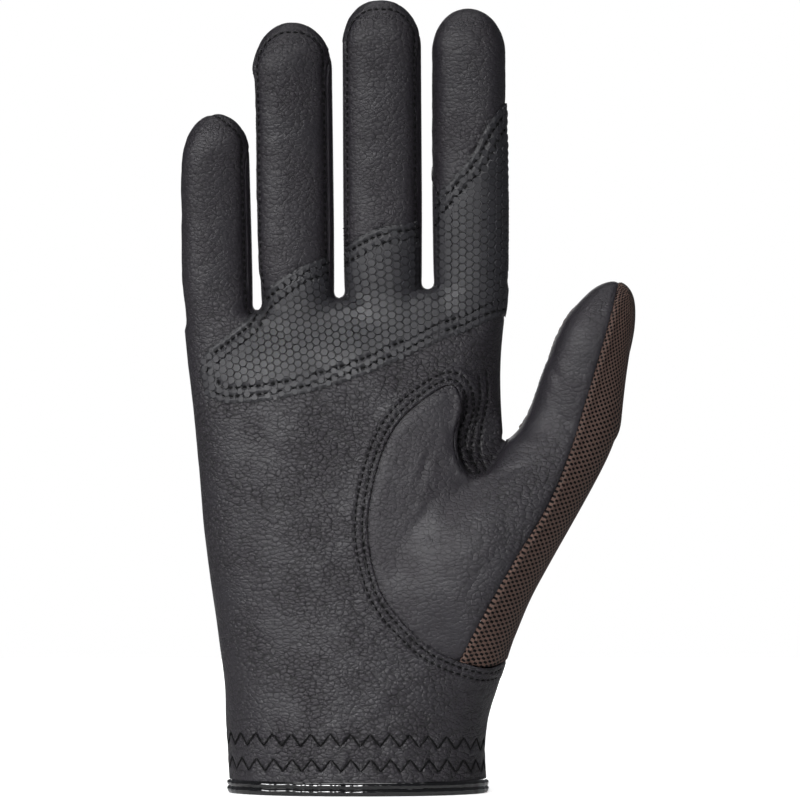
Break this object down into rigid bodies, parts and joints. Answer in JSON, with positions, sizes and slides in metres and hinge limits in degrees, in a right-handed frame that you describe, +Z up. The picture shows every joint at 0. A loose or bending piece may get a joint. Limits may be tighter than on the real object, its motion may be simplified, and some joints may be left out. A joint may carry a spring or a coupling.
{
  "type": "horse riding glove",
  "caption": "Full-fingered right-hand riding glove in black leather and brown knitted mesh, with a raised grip patch, oval thumb inset and bound hem, open at the wrist.",
  "frame": {"origin": "middle of the wrist opening, in the plane of the hem", "axes": "+Z up the fingers, +X to the thumb, -Y out of the palm"},
  "size_m": [0.1256, 0.0436, 0.2209],
  "materials": {
    "leather": "black grained synthetic leather, satin",
    "mesh_knit": "dark brown knitted mesh with small staggered holes",
    "grip": "black leather embossed with small hexagons",
    "binding": "black patent, high gloss"
  },
  "bodies": {
    "root": {"palm_leather": "leather", "back_mesh": "mesh_knit", "fourchette_little_ring": "leather", "fourchette_ring_middle": "leather", "fourchette_middle_index": "leather", "thumb_leather": "leather", "thumb_mesh": "mesh_knit", "grip_patch": "grip", "cuff_binding": "binding"}
  },
  "joints": []
}
